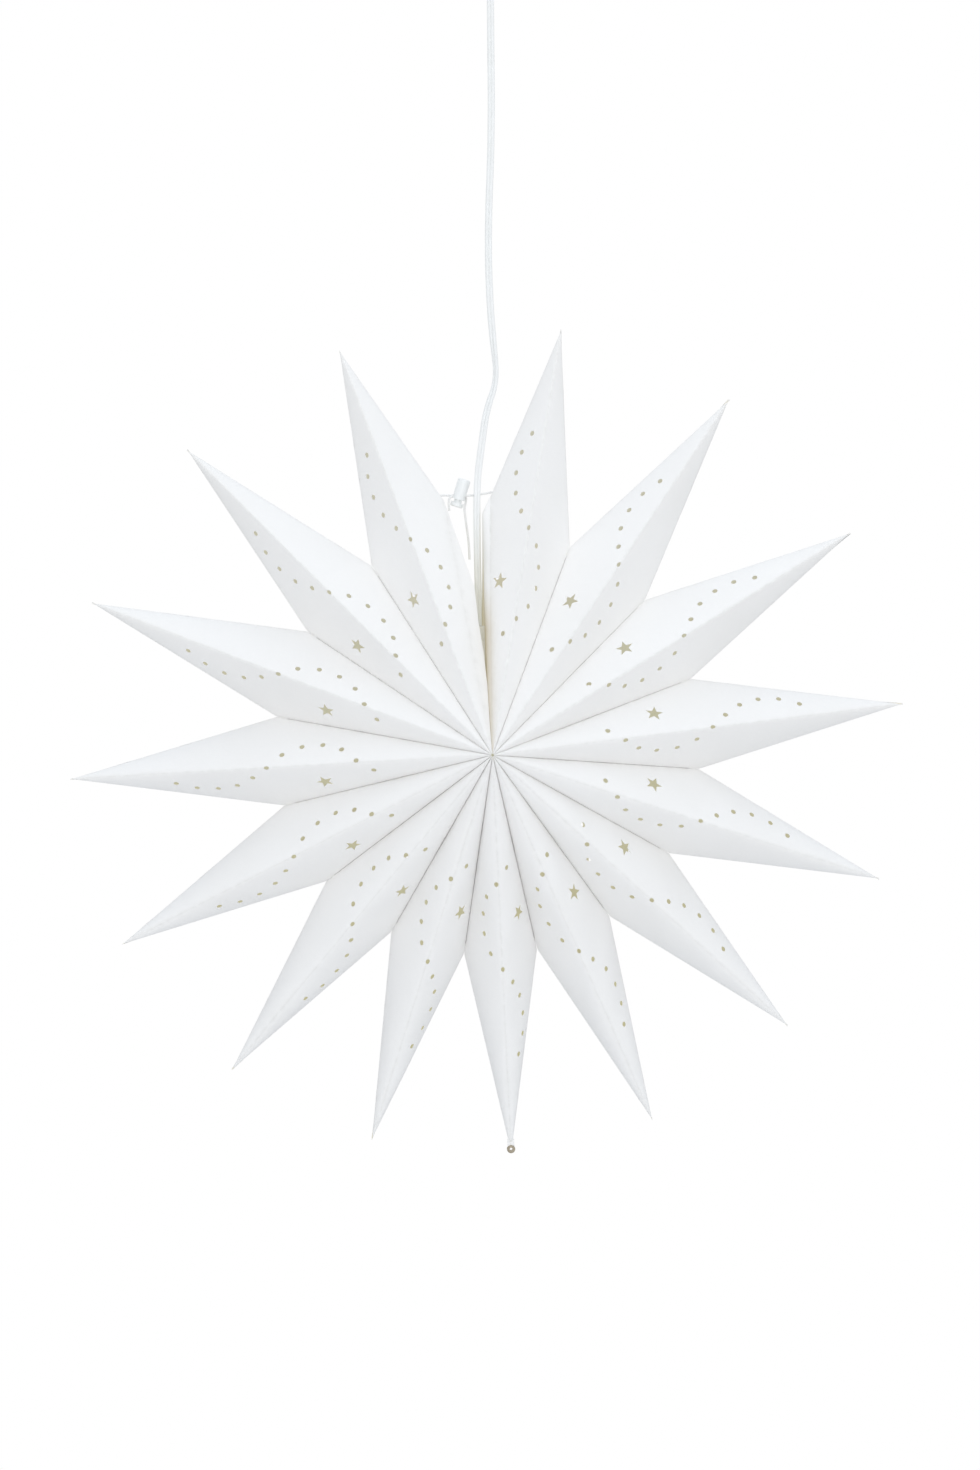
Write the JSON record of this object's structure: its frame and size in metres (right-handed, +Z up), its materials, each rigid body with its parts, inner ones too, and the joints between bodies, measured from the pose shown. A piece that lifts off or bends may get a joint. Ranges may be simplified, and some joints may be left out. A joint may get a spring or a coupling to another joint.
{
  "type": "moravian star pendant",
  "caption": "Folding paper star lantern of hollow pierced points around a lampholder and bulb, hung by its flex from a ceiling hook under a cup and closed by tie strings with a cord lock.",
  "frame": {"origin": "middle of the ceiling plate's top face, where the fitting meets the ceiling", "axes": "+Z up, -Y the star's front, +X to the right seen from the front"},
  "size_m": [0.5978, 0.1452, 0.9284],
  "materials": {
    "star_card": "matte",
    "eyelet_brass": "satin",
    "lock_plastic": "satin",
    "spring_steel": "satin",
    "tie_string": "matte",
    "cord_sheath": "satin",
    "bulb_glass": "gloss",
    "bulb_stem_glass": "gloss",
    "filament_phosphor": "matte",
    "bulb_metal": "satin",
    "black_insulator": "gloss",
    "bulb_solder": "satin",
    "holder_plastic": "satin",
    "holder_ceramic": "satin",
    "terminal_brass": "satin",
    "lead_brown": "satin",
    "lead_blue": "satin",
    "zinc_steel": "satin",
    "block_nylon": "satin",
    "cup_plastic": "satin"
  },
  "bodies": {
    "ceiling_mount": {"ceiling_plate": "zinc_steel", "ceiling_hook": "zinc_steel", "terminal_block": "block_nylon", "block_screw_front": "zinc_steel", "block_screw_back": "zinc_steel"},
    "hanger": {"cord_hanger": "holder_plastic", "clamp_bar": "holder_plastic", "clamp_screw_left": "zinc_steel", "clamp_screw_right": "zinc_steel", "cord_head": "cord_sheath", "lead_front": "lead_blue", "lead_back": "lead_brown"},
    "pendant": {"power_cord": "cord_sheath", "lampholder_skirt": "holder_plastic", "lampholder_insert": "holder_ceramic", "screw_sleeve": "terminal_brass", "centre_contact": "terminal_brass", "lampholder_dome": "holder_plastic", "cord_grip": "holder_plastic", "lamp_terminal_left": "terminal_brass", "lamp_terminal_right": "terminal_brass", "lamp_lead_left": "lead_brown", "lamp_lead_right": "lead_blue"},
    "cup": {"ceiling_cup": "cup_plastic"},
    "cup_screw": {"cup_screw": "cup_plastic"},
    "bulb": {"bulb_glass": "bulb_glass", "bulb_stem": "bulb_stem_glass", "bulb_filaments": "filament_phosphor", "bulb_cap": "bulb_metal", "bulb_insulator": "black_insulator", "bulb_contact": "bulb_solder"},
    "star_base": {"arm_08": "star_card", "tip_eyelet": "eyelet_brass"},
    "star_arm_01": {"arm_01": "star_card", "tie_string_right": "tie_string"},
    "star_arm_02": {"arm_02": "star_card"},
    "star_arm_03": {"arm_03": "star_card"},
    "star_arm_04": {"arm_04": "star_card"},
    "star_arm_05": {"arm_05": "star_card"},
    "star_arm_06": {"arm_06": "star_card"},
    "star_arm_07": {"arm_07": "star_card"},
    "star_arm_09": {"arm_09": "star_card"},
    "star_arm_10": {"arm_10": "star_card"},
    "star_arm_11": {"arm_11": "star_card"},
    "star_arm_12": {"arm_12": "star_card"},
    "star_arm_13": {"arm_13": "star_card"},
    "star_arm_14": {"arm_14": "star_card"},
    "star_arm_15": {"arm_15": "star_card", "tie_string_left": "tie_string"},
    "cord_lock": {"cord_lock_body": "lock_plastic", "cord_lock_spring": "spring_steel"},
    "lock_button": {"cord_lock_button": "lock_plastic"}
  },
  "joints": [
    {"name": "sway", "type": "hinge", "parent": "ceiling_mount", "child": "hanger", "pos_m": [0, 0, -0.024], "axis": [1, 0, 0], "range_deg": [-12, 12], "deforming": ["lead_front", "lead_back"]},
    {"name": "swing", "type": "hinge", "parent": "hanger", "child": "pendant", "pos_m": [0, 0, -0.0538], "axis": [0, 1, 0], "range_deg": [-12, 12]},
    {"name": "cup_slide", "type": "slide", "parent": "pendant", "child": "cup", "axis": [0, 0, -1], "range_m": [0, 0.05]},
    {"name": "cup_screw_loosen", "type": "slide", "parent": "cup", "child": "cup_screw", "axis": [0, 1, 0], "range_m": [0, 0.003]},
    {"name": "bulb_turn", "type": "hinge", "parent": "pendant", "child": "bulb", "pos_m": [-0.0082, 0, -0.63], "axis": [0, 0, 1], "range_deg": [0, 540]},
    {"name": "star_turn", "type": "hinge", "parent": "pendant", "child": "star_base", "pos_m": [-0.0082, 0, -0.63], "axis": [0, 0, 1], "range_deg": [-180, 180]},
    {"name": "fold", "type": "hinge", "parent": "star_base", "child": "star_arm_01", "pos_m": [-0.0012, 0, -0.63], "axis": [0, 1, 0], "range_deg": [0, 159], "deforming": ["arm_01", "arm_02", "arm_03", "arm_04", "arm_05", "arm_06", "arm_07", "arm_08", "arm_09", "arm_10", "arm_11", "arm_12", "arm_13", "arm_14", "arm_15", "tie_string_left", "tie_string_right"]},
    {"name": "fold_02", "type": "hinge", "parent": "star_base", "child": "star_arm_02", "pos_m": [-0.0012, 0, -0.63], "axis": [0, 1, 0], "range_deg": [0, 135.7]},
    {"name": "fold_03", "type": "hinge", "parent": "star_base", "child": "star_arm_03", "pos_m": [-0.0012, 0, -0.63], "axis": [0, 1, 0], "range_deg": [0, 112]},
    {"name": "fold_04", "type": "hinge", "parent": "star_base", "child": "star_arm_04", "pos_m": [-0.0012, 0, -0.63], "axis": [0, 1, 0], "range_deg": [0, 88.3]},
    {"name": "fold_05", "type": "hinge", "parent": "star_base", "child": "star_arm_05", "pos_m": [-0.0012, 0, -0.63], "axis": [0, 1, 0], "range_deg": [0, 64.8]},
    {"name": "fold_06", "type": "hinge", "parent": "star_base", "child": "star_arm_06", "pos_m": [-0.0012, 0, -0.63], "axis": [0, 1, 0], "range_deg": [0, 41.8]},
    {"name": "fold_07", "type": "hinge", "parent": "star_base", "child": "star_arm_07", "pos_m": [-0.0012, 0, -0.63], "axis": [0, 1, 0], "range_deg": [0, 19.8]},
    {"name": "fold_09", "type": "hinge", "parent": "star_base", "child": "star_arm_09", "pos_m": [-0.0012, 0, -0.63], "axis": [0, 1, 0], "range_deg": [-19.2, 0]},
    {"name": "fold_10", "type": "hinge", "parent": "star_base", "child": "star_arm_10", "pos_m": [-0.0012, 0, -0.63], "axis": [0, 1, 0], "range_deg": [-40, 0]},
    {"name": "fold_11", "type": "hinge", "parent": "star_base", "child": "star_arm_11", "pos_m": [-0.0012, 0, -0.63], "axis": [0, 1, 0], "range_deg": [-62.1, 0]},
    {"name": "fold_12", "type": "hinge", "parent": "star_base", "child": "star_arm_12", "pos_m": [-0.0012, 0, -0.63], "axis": [0, 1, 0], "range_deg": [-85, 0]},
    {"name": "fold_13", "type": "hinge", "parent": "star_base", "child": "star_arm_13", "pos_m": [-0.0012, 0, -0.63], "axis": [0, 1, 0], "range_deg": [-108.3, 0]},
    {"name": "fold_14", "type": "hinge", "parent": "star_base", "child": "star_arm_14", "pos_m": [-0.0012, 0, -0.63], "axis": [0, 1, 0], "range_deg": [-131.8, 0]},
    {"name": "fold_15", "type": "hinge", "parent": "star_base", "child": "star_arm_15", "pos_m": [-0.0012, 0, -0.63], "axis": [0, 1, 0], "range_deg": [-155.4, 0]},
    {"name": "lock_slide", "type": "slide", "parent": "star_arm_15", "child": "cord_lock", "axis": [-1, 0, 0], "range_m": [0, 0.002]},
    {"name": "lock_button", "type": "slide", "parent": "cord_lock", "child": "lock_button", "axis": [0.2924, 0, 0.9563], "range_m": [0, 0.002], "stiffness_N_per_m": 400, "springref_m": -0.001, "deforming": ["cord_lock_spring"]}
  ],
  "couplings": [
    {"joint": "fold_02", "follows": "fold", "ratio": 0.85044},
    {"joint": "fold_03", "follows": "fold", "ratio": 0.7011},
    {"joint": "fold_04", "follows": "fold", "ratio": 0.55227},
    {"joint": "fold_05", "follows": "fold", "ratio": 0.40461},
    {"joint": "fold_06", "follows": "fold", "ratio": 0.25965},
    {"joint": "fold_07", "follows": "fold", "ratio": 0.12141},
    {"joint": "fold_09", "follows": "fold", "ratio": -0.1173},
    {"joint": "fold_10", "follows": "fold", "ratio": -0.24814},
    {"joint": "fold_11", "follows": "fold", "ratio": -0.38735},
    {"joint": "fold_12", "follows": "fold", "ratio": -0.53135},
    {"joint": "fold_13", "follows": "fold", "ratio": -0.6779},
    {"joint": "fold_14", "follows": "fold", "ratio": -0.82579},
    {"joint": "fold_15", "follows": "fold", "ratio": -0.97437}
  ]
}
